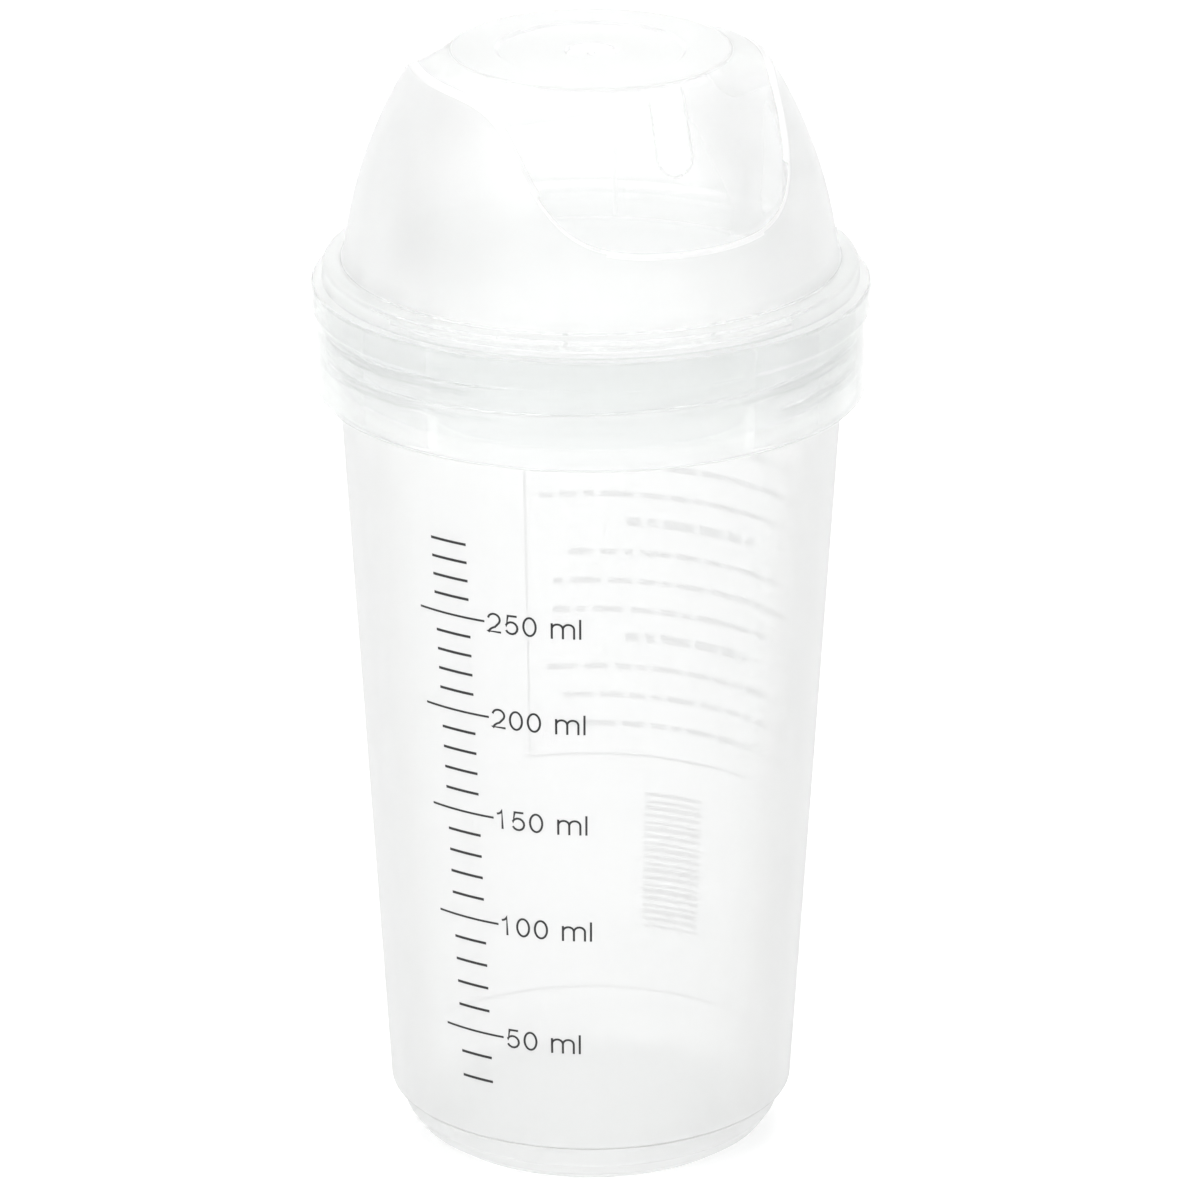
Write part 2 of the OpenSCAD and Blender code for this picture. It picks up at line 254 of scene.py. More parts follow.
def tongue_rise(az, r, down):
    """Height of the raised tongue on the front grip, `down` millimetres down the grip from the disc."""
    up_from_foot = TONGUE_FOOT - down
    side = math.radians((az + 180) % 360 - 180) * r - TONGUE_SHIFT - TONGUE_LEAN * up_from_foot
    if abs(side) > 2 * TONGUE_HALF or up_from_foot < 0:
        return 0.0
    inside = TONGUE_HALF - math.hypot(side, min(0.0, up_from_foot - TONGUE_HALF))
    return TONGUE_RISE * ramp(inside / 0.35) * ramp((down - 0.8) / 1.2)


def slope_share(x):
    """Where the grip's steps lie between its foot and the disc: closer together across the tongue's foot."""
    for (x0, y0), (x1, y1) in zip(SLOPE_STEPS_AT, SLOPE_STEPS_AT[1:]):
        if x <= x1:
            return y0 + (y1 - y0) * (x - x0) / (x1 - x0)
    return 1.0


def dome_side(az, inset, disc_edge, arc_steps, slope_steps, round_edge, tongue=0.0):
    """Up the dome's arc to the grip's edge, over the step, and up the grip to the disc."""
    low, high = dome_angle(DOME_LOW_Z), dome_angle(grip_edge_z(az))
    edge, foot = dome_point(high, inset), dome_point(high + STEP_SLANT / DOME_ARC_R, inset + GRIP_STEP)
    arc = [dome_point(low + (high - low) * i / arc_steps, inset) for i in range(arc_steps + 1)]
    slope = [foot.lerp(disc_edge, slope_share(i / slope_steps)) for i in range(slope_steps + 1)]
    if round_edge:
        arc[-1:] = corner(arc[-2], (edge.x, edge.y, round_edge), foot, 4)
        slope[:1] = corner(edge, (foot.x, foot.y, round_edge), slope[1], 4)
    if tongue:
        out = Vector((disc_edge.y - foot.y, foot.x - disc_edge.x)).normalized()
        slope = [p + out * tongue_rise(az, p.x, (p - disc_edge).length) for p in slope]
    return arc + slope


DOME_LOW_Z = 135.0
# Every third column of this many is used, and all of them across the tongue
FINE_COLUMNS, FINE_FROM_AZ, FINE_TO_AZ = 864, 354, 14


def make_lid():
    shoulder = dome_point(dome_angle(DOME_LOW_Z), 0)
    under = DISC_Z - DOME_WALL - 0.1
    outside = filled_in(rounded([
        [SKIRT_IN_R, SKIRT_Z + 1.6, 0], [SKIRT_IN_R, SKIRT_Z, 0.3], [SKIRT_R, SKIRT_Z, 0.35],
        [SKIRT_R - 0.15, BEAD_LOW_Z, 0.3], [BEAD_R, BEAD_LOW_Z + 0.5, 0.5], [BEAD_R, BEAD_HIGH_Z, 0.6],
        [FLANGE_R, BEAD_HIGH_Z + 0.15, 0.25], [FLANGE_R, FLANGE_Z - 0.1, 0.6],
        [shoulder.x + 0.5, FLANGE_Z + 0.1, 0.5], [shoulder.x, shoulder.y, 0]]), 8)
    top = filled_in(rounded([
        [DISC_R, DISC_Z, 0], [DISH_R, DISC_Z, 0.25], [DISH_R - 0.5, DISC_Z - DISH_DEPTH, 0.25],
        [GATE_R, DISC_Z - DISH_DEPTH, 0.25], [GATE_R - 0.3, DISC_Z - GATE_DEPTH, 0.25],
        [0.6, DISC_Z - GATE_DEPTH, 0.05], [0.5, DISC_Z - GATE_DEPTH + 0.3, 0.05],
        [0, DISC_Z - GATE_DEPTH + 0.3, 0]]), 8)
    ceiling = filled_in(rounded([
        [0, under - GATE_DEPTH + 0.2, 0], [GATE_R + 1, under - GATE_DEPTH + 0.2, 0.4],
        [GATE_R + 2, under, 0.4], [DISC_R - 1.5, under, 0.4]]), 8)
    inside = filled_in(rounded([
        [shoulder.x - DOME_WALL, DOME_LOW_Z, 0], [PLUG_IN_R, FLANGE_Z - 1, 1], [PLUG_IN_R, PLUG_Z + 1.6, 0.4],
        [SNAP_R, PLUG_Z + SNAP_H, 0.3], [SNAP_R, PLUG_Z, 0.3], [PLUG_R - 0.3, PLUG_Z, 0.3],
        [PLUG_R, PLUG_Z + 2, 0.5], [PLUG_R, CEILING_Z, 0.3], [SKIRT_IN_R, CEILING_Z, 0.3],
        [SKIRT_IN_R, CEILING_Z - 1.5, 0]]), 8)
    threaded = filled_in(rounded([
        [SKIRT_IN_R, CEILING_Z - 1.5, 0], [SKIRT_IN_R, SKIRT_Z + 1.6, 0]]), 0.27)[:-1]
    disc_edge = Vector((DISC_R, DISC_Z))
    disc_round = Vector((DISC_R - 0.5, DISC_Z))
    under_edge = Vector((DISC_R - 0.9, under))

    def outline_at(az):
        side = dome_side(az, 0, disc_edge, 16, 46, GRIP_ROUND, TONGUE_RISE)
        side = side[1:-1] + corner(side[-2], (DISC_R, DISC_Z, 0.45), disc_round, 4)
        back = dome_side(az, DOME_WALL, under_edge, 12, 6, 0.0)[::-1]
        skirt = [(r - thread_height(az, z, **LID_THREAD), z) for r, z in threaded]
        return outside + side + top[1:] + ceiling + back[:-1] + inside + skirt[1:]

    columns = [az for i, az in enumerate(even_columns(FINE_COLUMNS))
               if i % 3 == 0 or az < FINE_TO_AZ or az > FINE_FROM_AZ]
    return turned("lid_shell", columns, outline_at, closed=True)


def make_ribs():
    """Low ribs inside the dome's foot, one mesh, rooted in the dome's inner face."""
    mesh = bmesh.new()
    for k in range(RIBS):
        turn = math.radians(RIB_AZ + 360 * k / RIBS - 90)
        out = Vector((math.cos(turn), math.sin(turn), 0))
        across = Vector((-math.sin(turn), math.cos(turn), 0))
        rows = []
        for i in range(9):
            z = RIB_LOW_Z + (RIB_HIGH_Z - RIB_LOW_Z) * i / 8
            wall = PLUG_IN_R if z < FLANGE_Z else dome_point(dome_angle(max(z, DOME_LOW_Z)), DOME_WALL).x
            stand = (wall - SNAP_R) if z < FLANGE_Z else 0.7 * (1 - ramp((i - 5) / 3)) + 0.05
            sides = [(wall + 0.05, -RIB_W / 2), (wall - stand, -RIB_W / 2 + 0.15),
                     (wall - stand, RIB_W / 2 - 0.15), (wall + 0.05, RIB_W / 2)]
            rows.append([mesh.verts.new((out * r + across * s + Vector((0, 0, z))) * MM) for r, s in sides])
        for a, b in zip(rows, rows[1:]):
            for i in range(4):
                mesh.faces.new([a[i], a[(i + 1) % 4], b[(i + 1) % 4], b[i]])
        mesh.faces.new(rows[0][::-1])
        mesh.faces.new(rows[-1])
    return finished("lid_ribs", mesh, smooth=False)


# ------------------------------------------------------------------ seal ring and mixing grid
def make_seal():
    outline = filled_in(rounded([
        [seal_high.x - 0.6, seal_low.z, 0], [seal_high.x, seal_low.z, 0.2], [seal_high.x, seal_high.z, 0.2],
        [PLUG_R + 0.2, seal_high.z, 0.2], [PLUG_R + 0.2, seal_low.z, 0.2],
        [seal_high.x - 0.6, seal_low.z, 0]]), 2)
    return turned("seal_shell", even_columns(256), lambda az: outline[:-1], closed=True)


def bar_between(mesh, a, b, width, low, high):
    """A straight bar of the grid with softened upper and lower edges, from a to b in the plane."""
    along = (b - a).normalized()
    across = Vector((-along.y, along.x)) * width / 2
    soft = 0.25
    shape = [(-1, low + soft), (-1 + 2 * soft / width, low), (1 - 2 * soft / width, low), (1, low + soft),
             (1, high - soft), (1 - 2 * soft / width, high), (-1 + 2 * soft / width, high), (-1, high - soft)]
    ends = []
    for p in (a, b):
        ends.append([mesh.verts.new(Vector((p.x + across.x * s, p.y + across.y * s, z)) * MM)
                     for s, z in shape])
    for i in range(8):
        j = (i + 1) % 8
        mesh.faces.new([ends[0][i], ends[1][i], ends[1][j], ends[0][j]])
    mesh.faces.new(ends[0])
    mesh.faces.new(ends[1][::-1])


GRID_RIM_R = SNAP_R - 0.2
GRID_RIM_T, GRID_T, BAR, GRID_RINGS, SPOKES, HUB_R = 1.2, 1.4, 1.3, 4, 12, 3.0


def make_grid():
    lip_r, low, high = grid_high.x, grid_low.z, grid_high.z
    low_lip, high_lip = PLUG_Z - 0.2, PLUG_Z + SNAP_H + 0.2
    inner = GRID_RIM_R - GRID_RIM_T
    rim = filled_in(rounded([
        [inner, low + 3, 0], [inner, low, 0.3], [GRID_RIM_R, low, 0.5], [GRID_RIM_R, low_lip - 1.6, 0.4],
        [lip_r, low_lip - 1.1, 0.2], [lip_r, low_lip, 0.2], [GRID_RIM_R, low_lip, 0.1],
        [GRID_RIM_R, high_lip + 0.4, 0.1], [lip_r, high_lip + 0.5, 0.2], [lip_r - 0.1, high, 0.3],
        [inner, high, 0.3], [inner, low + 3, 0]]), 2)
    pieces = [turned("mixing_grid_rim", even_columns(256), lambda az: rim[:-1], closed=True)]
    for k in range(GRID_RINGS):
        r = inner * (k + 0.9) / (GRID_RINGS + 0.7)
        ring = filled_in(rounded([
            [r - BAR / 2, low + 0.7, 0], [r - BAR / 2, low, 0.25], [r + BAR / 2, low, 0.25],
            [r + BAR / 2, low + GRID_T, 0.25], [r - BAR / 2, low + GRID_T, 0.25],
            [r - BAR / 2, low + 0.7, 0]]), 1)
        pieces.append(turned(f"mixing_grid_ring_{k + 1}", even_columns(128),
                             lambda az, ring=ring: ring[:-1], closed=True))
    mesh = bmesh.new()
    for k in range(SPOKES):
        turn = 2 * math.pi * k / SPOKES
        out = Vector((math.cos(turn), math.sin(turn)))
        bar_between(mesh, out * (HUB_R - 0.4), out * (inner + 0.3), BAR, low + 0.05, low + GRID_T - 0.15)
    pieces.append(finished("mixing_grid_spokes", mesh, smooth=False))
    hub_top = low + GRID_T + 0.6
    hub = filled_in(rounded([[0, low, 0], [HUB_R, low, 0.3], [HUB_R, hub_top, 0.4], [0, hub_top, 0]]), 1)
    pieces.append(turned("mixing_grid_hub", even_columns(64), lambda az: hub))
    return pieces


# ------------------------------------------------------------------ print
def on_wall(az, z, height):
    """A point that far out from the beaker's tapered wall."""
    turn = math.radians(az - 90)
    r = cup_r(z) + height
    return Vector((r * math.cos(turn), r * math.sin(turn), z)) * MM


def ink_strip(mesh, az_low, az_high, z_low, z_high):
    """A closed patch of ink that follows the wall."""
    steps = max(1, math.ceil((az_high - az_low) / 1.5))
    rows = []
    for i in range(steps + 1):
        az = az_low + (az_high - az_low) * i / steps
        rows.append([mesh.verts.new(on_wall(az, z, h))
                     for z, h in ((z_low, INK_FOOT), (z_low, INK), (z_high, INK), (z_high, INK_FOOT))])
    for a, b in zip(rows, rows[1:]):
        for i in range(4):
            mesh.faces.new([a[i], a[(i + 1) % 4], b[(i + 1) % 4], b[i]])
    mesh.faces.new(rows[0])
    mesh.faces.new(rows[-1][::-1])


def fill_z(ml):
    """Height at which the beaker holds that volume."""
    taper = (cup_in_r(NECK_Z) - cup_in_r(0)) / NECK_Z
    cubed = cup_in_r(SHELF_Z) ** 3 + 3 * taper * (ml - FOOT_ML) * 1000 / math.pi
    return (cubed ** (1 / 3) - cup_in_r(0)) / taper


def column_az(z):
    return SCALE_AZ + SCALE_LEAN * (z - SCALE_MID_Z)


def make_marks():
    mesh = bmesh.new()
    for ml in range(30, 300, 10):
        z = fill_z(ml)
        az = column_az(z)
        if ml % 50:
            ink_strip(mesh, az - SHORT_MARK / 2, az + SHORT_MARK / 2, z - SHORT_LINE, z + SHORT_LINE)
        else:
            ink_strip(mesh, az - LONG_MARK_LEFT, az + LONG_MARK_RIGHT, z - LONG_LINE, z + LONG_LINE)
    return finished("scale_marks", mesh, smooth=False)


PEN, DIGIT_H, DIGIT_W, DIGIT_GAP, WORD_GAP, TEXT_GAP = 0.31, 3.05, 2.1, 0.55, 1.45, 0.45


def bow(cx, cy, rx, ry, first, last, steps=12):
    """Points along a stretch of an ellipse, between two angles in degrees."""
    angles = [math.radians(first + (last - first) * i / steps) for i in range(steps + 1)]
    return [Vector((cx + rx * math.cos(a), cy + ry * math.sin(a))) for a in angles]


def glyphs():
    """Plain sans-serif figures as pen strokes: each has its width and its list of centre lines."""
    low, high, mid = PEN / 2, DIGIT_H - PEN / 2, DIGIT_W / 2
    half = mid - PEN / 2
    arch, leg = 0.79, 1.5
    m = [[Vector((low, 0)), Vector((low, leg + 0.72 + low))]]
    for k in range(2):
        left = low + 2 * arch * k
        m.append(bow(left + arch, leg, arch, 0.72, 180, 0) + [Vector((left + 2 * arch, 0))])
    return {
        "0": (DIGIT_W, [bow(mid, DIGIT_H / 2, half, DIGIT_H / 2 - low, 90, 450, 28)]),
        "1": (1.75, [bow(0.1, DIGIT_H, 0.8, 0.75, 270, 345, 6) + [Vector((0.92, 0))]]),
        "2": (DIGIT_W, [bow(mid, 2.05, half, 0.85, 170, -35) + bow(2.1, -0.2, 1.95, 1.25, 118, 165, 6)
                        + [Vector((low, low)), Vector((DIGIT_W, low))]]),
        "5": (DIGIT_W, [[Vector((1.85, high)), Vector((0.52, high)), Vector((0.27, 1.42))]
                        + bow(mid - 0.02, 1.06, half, 0.91, 150, -155)]),
        "m": (4 * arch + PEN, m),
        "l": (PEN, [[Vector((low, 0)), Vector((low, DIGIT_H))]]),
    }


def pen_sides(line):
    """The two sides of a pen stroke along a centre line."""
    sides = []
    for i, at in enumerate(line):
        before, after = line[max(i - 1, 0)], line[min(i + 1, len(line) - 1)]
        if i == 0 and (line[-1] - at).length < 1e-6:
            before = line[-2]
        if i == len(line) - 1 and (line[0] - at).length < 1e-6:
            after = line[1]
        u, v = (at - before).normalized(), (after - at).normalized()
        along = (u + v).normalized()
        spread = 1 / max(0.5, along.dot(v if v.length else u))
        across = Vector((-along.y, along.x)) * PEN / 2 * spread
        sides.append((at + across, at - across))
    return sides


def make_number(ml, shapes):
    """One volume beside its long mark, drawn with a pen along the wall."""
    mesh = bmesh.new()
    middle = fill_z(ml)
    start = column_az(middle) + LONG_MARK_RIGHT
    across = TEXT_GAP
    for letter in f"{ml} ml":
        if letter == " ":
            across += WORD_GAP
            continue
        width, lines = shapes[letter]
        for line in lines:
            rows = []
            for left, right in pen_sides(line):
                row = []
                for p, height in ((left, INK_FOOT), (left, INK), (right, INK), (right, INK_FOOT)):
                    az = start + math.degrees((across + p.x) / cup_r(middle))
                    row.append(mesh.verts.new(on_wall(az, middle - DIGIT_H / 2 + p.y, height)))
                rows.append(row)
            for a, b in zip(rows, rows[1:]):
                for i in range(4):
                    mesh.faces.new([a[i], a[(i + 1) % 4], b[(i + 1) % 4], b[i]])
            mesh.faces.new(rows[0])
            mesh.faces.new(rows[-1][::-1])
        across += width + DIGIT_GAP
    return finished(f"number_{ml}", mesh, smooth=False)


PANEL_AZ, PANEL_ANGLE, PANEL_LOW_Z, PANEL_HIGH_Z = 84, 88, 44.5, 108
BLOCK_AZ, BLOCK_ANGLE, BLOCK_LOW_Z, STRIPES, STRIPE_PITCH = 123, 17, 17.5, 20, 1.1
ROWS, FIRST_ROW_Z, ROW_PITCH = 12, 99.0, 4.49
LINE, LINE_ANGLE, DASH_GAP, HEADING_INSET = 0.35, 0.6, 1.7, 26


def make_info():
    """A frame round rows of plain dashes, and a block of stripes: no words, no signs."""
    mesh = bmesh.new()
    right = PANEL_AZ + PANEL_ANGLE
    for az in (PANEL_AZ, right - LINE_ANGLE):
        ink_strip(mesh, az, az + LINE_ANGLE, PANEL_LOW_Z + LINE, PANEL_HIGH_Z - LINE)
    for z in (PANEL_LOW_Z, PANEL_HIGH_Z - LINE):
        ink_strip(mesh, PANEL_AZ, right, z, z + LINE)
    for row in range(ROWS):
        z = FIRST_ROW_Z - ROW_PITCH * row
        heading = row % 4 == 0
        inset = HEADING_INSET if heading else 4 + 2 * (row % 3)
        az = PANEL_AZ + inset
        k = row
        while az < right - inset - 3:
            length = min(2.5 + 1.9 * (k * 5 % 4), right - inset - az)
            ink_strip(mesh, az, az + length, z - 0.5, z + (0.9 if heading else 0.4))
            az += length + DASH_GAP
            k += 1
    for k in range(STRIPES):
        z = BLOCK_LOW_Z + STRIPE_PITCH * k
        ink_strip(mesh, BLOCK_AZ, BLOCK_AZ + BLOCK_ANGLE, z, z + 0.4 + 0.15 * (k * 7 % 3))
    return finished("info_dashes", mesh, smooth=False)


# ------------------------------------------------------------------ materials
def new_material(name):
    material = bpy.data.materials.new(name)
    material.use_nodes = True
    material.node_tree.nodes.clear()
    return material, material.node_tree


def add(tree, kind, inputs=(), **settings):
    node = tree.nodes.new(kind)
    for key, value in settings.items():
        setattr(node, key, value)
    for key, value in dict(inputs).items():
        node.inputs[key].default_value = value
    return node


def moulded_surface(tree, grain, depth, waviness):
    """A fine moulded grain and a slow unevenness of the wall, as a normal."""
    place = add(tree, "ShaderNodeTexCoord")
    fine = add(tree, "ShaderNodeTexNoise", {"Scale": grain, "Detail": 3, "Roughness": 0.6})
    slow = add(tree, "ShaderNodeTexNoise", {"Scale": 45, "Detail": 1})
    fine_bump = add(tree, "ShaderNodeBump", {"Strength": depth, "Distance": 0.00004})
    slow_bump = add(tree, "ShaderNodeBump", {"Strength": waviness, "Distance": 0.0004})
    tree.links.new(place.outputs["Object"], fine.inputs["Vector"])
    tree.links.new(place.outputs["Object"], slow.inputs["Vector"])
    tree.links.new(slow.outputs["Fac"], slow_bump.inputs["Height"])
    tree.links.new(fine.outputs["Fac"], fine_bump.inputs["Height"])
    tree.links.new(slow_bump.outputs["Normal"], fine_bump.inputs["Normal"])
    return fine_bump.outputs["Normal"]


def polypropylene(name, colour, direct, direct_edge, milk, glow, rough, grain, depth, waviness, gloss=0.5):
    """Natural polypropylene. direct: the share of light that passes one face unbent, falling to direct_edge
    where the wall is seen edge-on; milk: the share of the rest that a cloudy wall scatters; glow: how much of
    that goes on inwards. What is left is bent as in glass. Lamps reach what is behind it. gloss: how strongly
    the surface mirrors, 0.5 as plain plastic does."""
    material, tree = new_material(name)
    normal = moulded_surface(tree, grain, depth, waviness)
    look = {"Base Color": (*colour, 1), "Roughness": rough, "IOR": 1.49, "Specular IOR Level": gloss}
    glass = add(tree, "ShaderNodeBsdfPrincipled", {**look, "Transmission Weight": 1.0})
    skin = add(tree, "ShaderNodeBsdfPrincipled", look)
    cloud = add(tree, "ShaderNodeBsdfTranslucent", {"Color": (*colour, 1)})
    open_way = add(tree, "ShaderNodeBsdfTransparent", {"Color": (1, 1, 1, 1)})
    ray = add(tree, "ShaderNodeLightPath")
    turned_away = add(tree, "ShaderNodeLayerWeight", {"Blend": 0.5})
    share = add(tree, "ShaderNodeMapRange", {"From Min": 0.3, "From Max": 0.8, "To Min": direct,
                                             "To Max": direct_edge}, interpolation_type="SMOOTHSTEP")
    see = add(tree, "ShaderNodeMixShader")
    body = add(tree, "ShaderNodeMixShader", {0: glow})
    mixed = add(tree, "ShaderNodeMixShader", {0: milk})
    whole = add(tree, "ShaderNodeMixShader")
    out = add(tree, "ShaderNodeOutputMaterial")
    tree.links.new(normal, glass.inputs["Normal"])
    tree.links.new(normal, skin.inputs["Normal"])
    tree.links.new(turned_away.outputs["Facing"], share.inputs["Value"])
    tree.links.new(share.outputs["Result"], whole.inputs[0])
    tree.links.new(ray.outputs["Is Shadow Ray"], see.inputs[0])
    for target, first, second in ((see, glass, open_way), (body, skin, cloud), (mixed, see, body),
                                  (whole, mixed, open_way)):
        tree.links.new(first.outputs[0], target.inputs[1])
        tree.links.new(second.outputs[0], target.inputs[2])
    tree.links.new(whole.outputs[0], out.inputs["Surface"])
    return material


def printing_ink(name, colour, clear=0.0):
    """Screen-printed ink with a slightly uneven film."""
    material, tree = new_material(name)
    place = add(tree, "ShaderNodeTexCoord")
    film = add(tree, "ShaderNodeTexNoise", {"Scale": 900, "Detail": 2})
    rough = add(tree, "ShaderNodeMapRange", {"To Min": 0.35, "To Max": 0.6})
    bump = add(tree, "ShaderNodeBump", {"Strength": 0.3, "Distance": 0.00002})
    skin = add(tree, "ShaderNodeBsdfPrincipled", {"Base Color": (*colour, 1), "Alpha": 1 - clear})
    out = add(tree, "ShaderNodeOutputMaterial")
    tree.links.new(place.outputs["Object"], film.inputs["Vector"])
    tree.links.new(film.outputs["Fac"], rough.inputs["Value"])
    tree.links.new(film.outputs["Fac"], bump.inputs["Height"])
    tree.links.new(rough.outputs["Result"], skin.inputs["Roughness"])
    tree.links.new(bump.outputs["Normal"], skin.inputs["Normal"])
    tree.links.new(skin.outputs[0], out.inputs["Surface"])
    return material


# ------------------------------------------------------------------ the object
# The moulds' textures
ETCHED = {"grain": 2500, "depth": 0.25, "waviness": 0.12}
SATIN = {"grain": 2500, "depth": 0.2, "waviness": 0.1}
POLISHED = {"grain": 1500, "depth": 0.1, "waviness": 0.1}
GLOSSY = {"grain": 1500, "depth": 0.05, "waviness": 0.05}
WHITE = (0.98, 0.987, 0.985)
# Each: name, colour, direct, direct_edge, milk, glow, rough, texture
cup_plastic = polypropylene("cup_plastic", (0.894, 0.898, 0.896),
                            0.587, 0.111, 0.744, 0.452, 0.35, **ETCHED, gloss=0.25)
lid_plastic = polypropylene("lid_plastic", (0.978, 0.982, 0.98), 0.527, 0.15, 0.526, 0.539, 0.2, **POLISHED)
lid_frosted = polypropylene("lid_frosted", (0.995, 0.998, 0.997), 0.43, 0.116, 0.653, 0.518, 0.4, **ETCHED)
grid_plastic = polypropylene("grid_plastic", WHITE, 0.5, 0.3, 0.5, 0.6, 0.4, **SATIN)
seal_silicone = polypropylene("seal_silicone", WHITE, 0.5, 0.3, 0.5, 0.5, 0.4, **SATIN)
neck_clear = polypropylene("neck_clear", (0.85, 0.868, 0.862), 0.3, 0.08, 0.3, 0.5, 0.12, **GLOSSY)
skirt_clear = polypropylene("skirt_clear", (0.95, 0.962, 0.957), 0.6, 0.15, 0.3, 0.5, 0.1, **GLOSSY)
# Painted highlight: near-white, nearly opaque plastic on the grip's rounded rim, standing in for the light
# the rim catches
grip_rim_painted_highlight = polypropylene("grip_rim_painted_highlight", (0.998, 0.998, 0.998), 0.1, 0.1, 0.9, 0.35, 0.25, **GLOSSY)
# Painted shade: a dark grey plastic for the ledge's corner, standing in for the shade along the ledge
ledge_painted_shade = polypropylene("ledge_painted_shade", (0.6, 0.605, 0.6), 0.1, 0.05, 0.8, 0.5, 0.3, **ETCHED)
# Painted shade: a greyer plastic that draws the skirt's lower edge, the disc's rim and the tongue's wall as
# darker outlines
lid_edge_painted_shade = polypropylene("lid_edge_painted_shade", (0.87, 0.88, 0.876), 0.2, 0.05, 0.7, 0.5, 0.2, **POLISHED)
scale_ink = printing_ink("scale_ink", (0.012, 0.012, 0.013))
info_ink = printing_ink("info_ink", (0.12, 0.125, 0.13), clear=0.68)


def place(piece, body, slot, material, *nodes):
    piece.data.materials.clear()
    piece.data.materials.append(material)
    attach(piece, body)
    if nodes:
        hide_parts(*nodes)


def refinish(piece, material, chosen):
    """Gives the faces that chosen(r, z, azimuth) picks another finish."""
    slot = len(piece.data.materials)
    piece.data.materials.append(material)
    for face in piece.data.polygons:
        at = face.center / MM
        if chosen(math.hypot(at.x, at.y), at.z, math.degrees(math.atan2(at.x, -at.y))):
            face.material_index = slot


def is_dome_side(r, z, az):
    """True on the outside of the dome below its grips' edges."""
    return FLANGE_Z + 0.3 < z < grip_edge_z(az) - 0.1 and r > dome_point(dome_angle(z), 0.3).x


def is_lid_edge(r, z, az):
    """True on the skirt's lower edge and on the rim of the disc: faces given a greyer plastic as painted
    shade.
    """
    return z < SKIRT_Z + 0.35 and r > SKIRT_R - 0.5 or z > DISC_Z - 0.2 and DISC_R - 0.4 < r < DISC_R + 0.2


def is_neck(r, z, az):
    """True on the outside of the beaker's neck, with its thread."""
    return z > NECK_Z and r > NECK_R - 0.3


def is_skirt(r, z, az):
    """True on both sides of the skirt, up to the flange."""
    return SKIRT_Z < z < BEAD_HIGH_Z and r > SKIRT_IN_R - THREAD_H - 0.1


def is_grip_rim(r, z, az):
    """True on the rounded edge where the dome steps down into a grip: the faces that get the painted
    highlight.
    """
    return -0.45 < z - grip_edge_z(az) < 0.35 and r > dome_point(dome_angle(z), 0.75).x


def is_tongue_edge(r, z, az):
    """True on the low wall round the front grip's tongue: faces given a greyer plastic as painted shade."""
    foot = dome_point(dome_angle(GRIP_LOW_Z) + STEP_SLANT / DOME_ARC_R, GRIP_STEP)
    down = math.hypot(r - DISC_R, DISC_Z - z)
    on_grip = foot.y < z and r > DISC_R + (foot.x - DISC_R) * (DISC_Z - z) / (DISC_Z - foot.y) - 0.3
    return on_grip and down > 2 and 0.1 < tongue_rise(az, r, down) / TONGUE_RISE < 0.9


def is_ledge(r, z, az):
    """True on the corner that ends the tapered wall: the faces painted darker as shade along the ledge."""
    return LEDGE_Z - 0.15 < z < LEDGE_Z + 0.35 and r > cup_r(LEDGE_Z) - 0.4


beaker = make_cup()
place(beaker, "beaker", "cup_plastic", cup_plastic, "cup")
refinish(beaker, neck_clear, is_neck)
# Painted shade: the ledge's corner is given the dark grey plastic
refinish(beaker, ledge_painted_shade, is_ledge)
lid = make_lid()
place(lid, "lid", "lid_plastic", lid_plastic, "lid")
refinish(lid, lid_frosted, is_dome_side)
refinish(lid, skirt_clear, is_skirt)
# Painted highlight: the grip's rounded rim is given the near-white plastic
refinish(lid, grip_rim_painted_highlight, is_grip_rim)
# Painted shade: greyer outlines on the skirt's lower edge, the disc's rim and the wall round the tongue
refinish(lid, lid_edge_painted_shade, is_lid_edge)
refinish(lid, lid_edge_painted_shade, is_tongue_edge)
place(make_ribs(), "lid", "lid_plastic", lid_plastic)
place(make_seal(), "mixer", "seal_silicone", seal_silicone, "seal_ring")
for index, part in enumerate(make_grid()):
    place(part, "mixer", "grid_plastic", grid_plastic, *(["mixing_grid"] if index == 0 else []))
place(make_marks(), "beaker", "scale_ink", scale_ink, "measuring_scale")
figures = glyphs()
for volume in range(50, 300, 50):
    place(make_number(volume, figures), "beaker", "scale_ink", scale_ink)
place(make_info(), "beaker", "info_ink", info_ink, "info_print")


# ------------------------------------------------------------------ studio
FLOOR_SIDES = 48


def make_floor():
    mesh = bmesh.new()
    rings = []
    turns = [math.tau * k / FLOOR_SIDES for k in range(FLOOR_SIDES)]
    for radius in (0.15, 0.6, 2.0, 7.0):
        rings.append([mesh.verts.new((radius * math.cos(turn), radius * math.sin(turn), 0))
                      for turn in turns])
    for a, b in zip(rings, rings[1:]):
        for k in range(FLOOR_SIDES):
            mesh.faces.new([a[k], b[k], b[(k + 1) % FLOOR_SIDES], a[(k + 1) % FLOOR_SIDES]])
    mesh.faces.new(rings[0])
    floor = finished("floor", mesh)
    material, tree = new_material("floor_white")
    skin = add(tree, "ShaderNodeBsdfPrincipled", {"Base Color": (0.98, 0.98, 0.98, 1), "Roughness": 0.6,
                                                "Emission Color": (1, 1, 1, 1), "Emission Strength": 0.15})
    out = add(tree, "ShaderNodeOutputMaterial")
    tree.links.new(skin.outputs[0], out.inputs["Surface"])
    floor.data.materials.append(material)


def softbox(name, at, aim, size, watts):
    light = bpy.data.lights.new(name, "AREA")
    light.shape = "RECTANGLE"
    light.size, light.size_y = size
    light.energy = watts
    lamp = bpy.data.objects.new(name, light)
    bpy.context.scene.collection.objects.link(lamp)
    lamp.location = at
    lamp.rotation_euler = (Vector(aim) - Vector(at)).to_track_quat("-Z", "Y").to_euler()


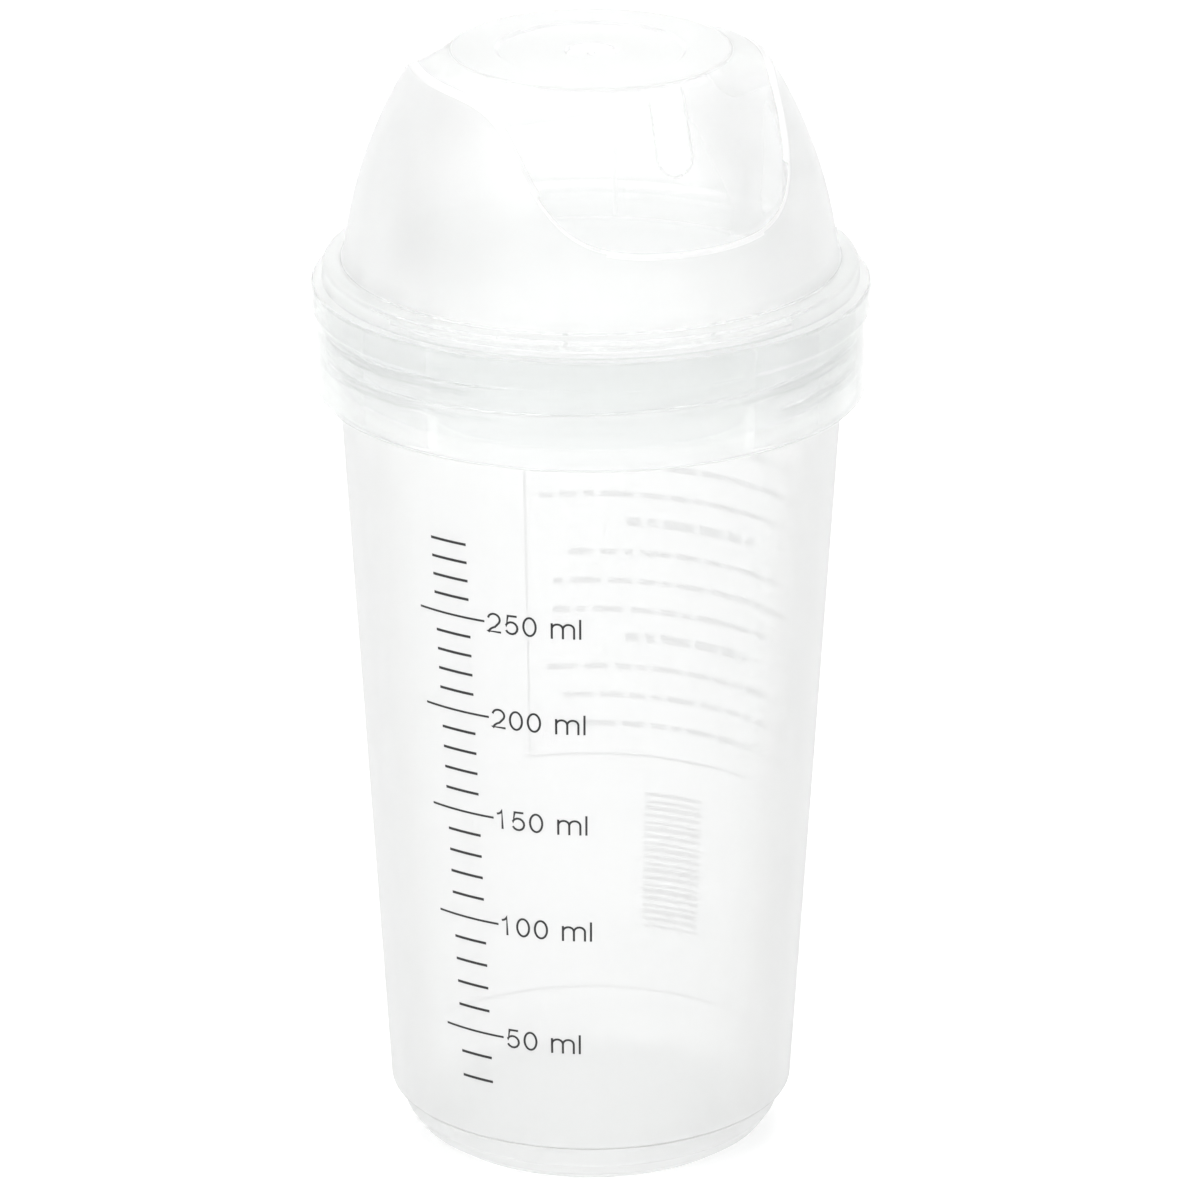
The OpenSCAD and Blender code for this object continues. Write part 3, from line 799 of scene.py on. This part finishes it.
def make_world(overhead, level_with_it, left_flag, right_flag):
    """Pale studio walls: brightest overhead, with a grey flag on each side of the view."""
    world = bpy.data.worlds.new("studio")
    bpy.context.scene.world = world
    world.use_nodes = True
    tree = world.node_tree
    tree.nodes.clear()
    where = add(tree, "ShaderNodeTexCoord")
    split = add(tree, "ShaderNodeSeparateXYZ")
    tree.links.new(where.outputs["Generated"], split.inputs[0])
    height = add(tree, "ShaderNodeMapRange", {"From Min": 0.0, "From Max": 0.8, "To Min": level_with_it,
                                              "To Max": overhead}, interpolation_type="SMOOTHSTEP")
    tree.links.new(split.outputs["Z"], height.inputs["Value"])
    level = height.outputs["Result"]
    to_right = Vector((math.cos(VIEW_AZ), math.sin(VIEW_AZ), 0))
    for side, flag in ((to_right, right_flag), (-to_right, left_flag)):
        towards = add(tree, "ShaderNodeVectorMath", {1: side}, operation="DOT_PRODUCT")
        tree.links.new(where.outputs["Generated"], towards.inputs[0])
        shade = add(tree, "ShaderNodeMapRange", {"From Min": 0.371, "From Max": 0.95,
                                                 "To Min": 1, "To Max": flag},
                    interpolation_type="SMOOTHSTEP")
        tree.links.new(towards.outputs["Value"], shade.inputs["Value"])
        product = add(tree, "ShaderNodeMath", operation="MULTIPLY")
        tree.links.new(level, product.inputs[0])
        tree.links.new(shade.outputs["Result"], product.inputs[1])
        level = product.outputs[0]
    sky = add(tree, "ShaderNodeBackground", {"Color": (1, 1, 1, 1)})
    out = add(tree, "ShaderNodeOutputWorld")
    tree.links.new(level, sky.inputs["Strength"])
    tree.links.new(sky.outputs[0], out.inputs["Surface"])


AIM = Vector((0, 0, 82.8 * MM))
VIEW_AZ, VIEW_EL, VIEW_FAR, VIEW_LENS = math.radians(-25), math.radians(20.6), 1.0863, 228.0


def make_camera():
    data = bpy.data.cameras.new("camera")
    data.lens = VIEW_LENS
    data.clip_start, data.clip_end = 0.05, 60
    camera = bpy.data.objects.new("camera", data)
    bpy.context.scene.collection.objects.link(camera)
    level = math.cos(VIEW_EL)
    back = Vector((math.sin(VIEW_AZ) * level, -math.cos(VIEW_AZ) * level, math.sin(VIEW_EL)))
    camera.location = AIM + back * VIEW_FAR
    camera.rotation_euler = (-back).to_track_quat("-Z", "Y").to_euler()
    bpy.context.scene.camera = camera


make_floor()
make_world(1.09, 0.809, 0.03, 0.1)
softbox("left_softbox", (-1.3, -0.7, 0.9), AIM, (0.5, 1.2), 5.96)
softbox("right_softbox", (1.0, -1.1, 0.9), AIM, (0.4, 1.1), 2.42)
softbox("top_softbox", (0.2, 0.6, 1.6), AIM, (1.4, 1.0), 8.43)
make_camera()
bpy.context.scene.view_settings.view_transform = "Standard"
light_paths = bpy.context.scene.cycles
light_paths.max_bounces = light_paths.transmission_bounces = 24
light_paths.diffuse_bounces = light_paths.glossy_bounces = 10
light_paths.transparent_max_bounces = 32
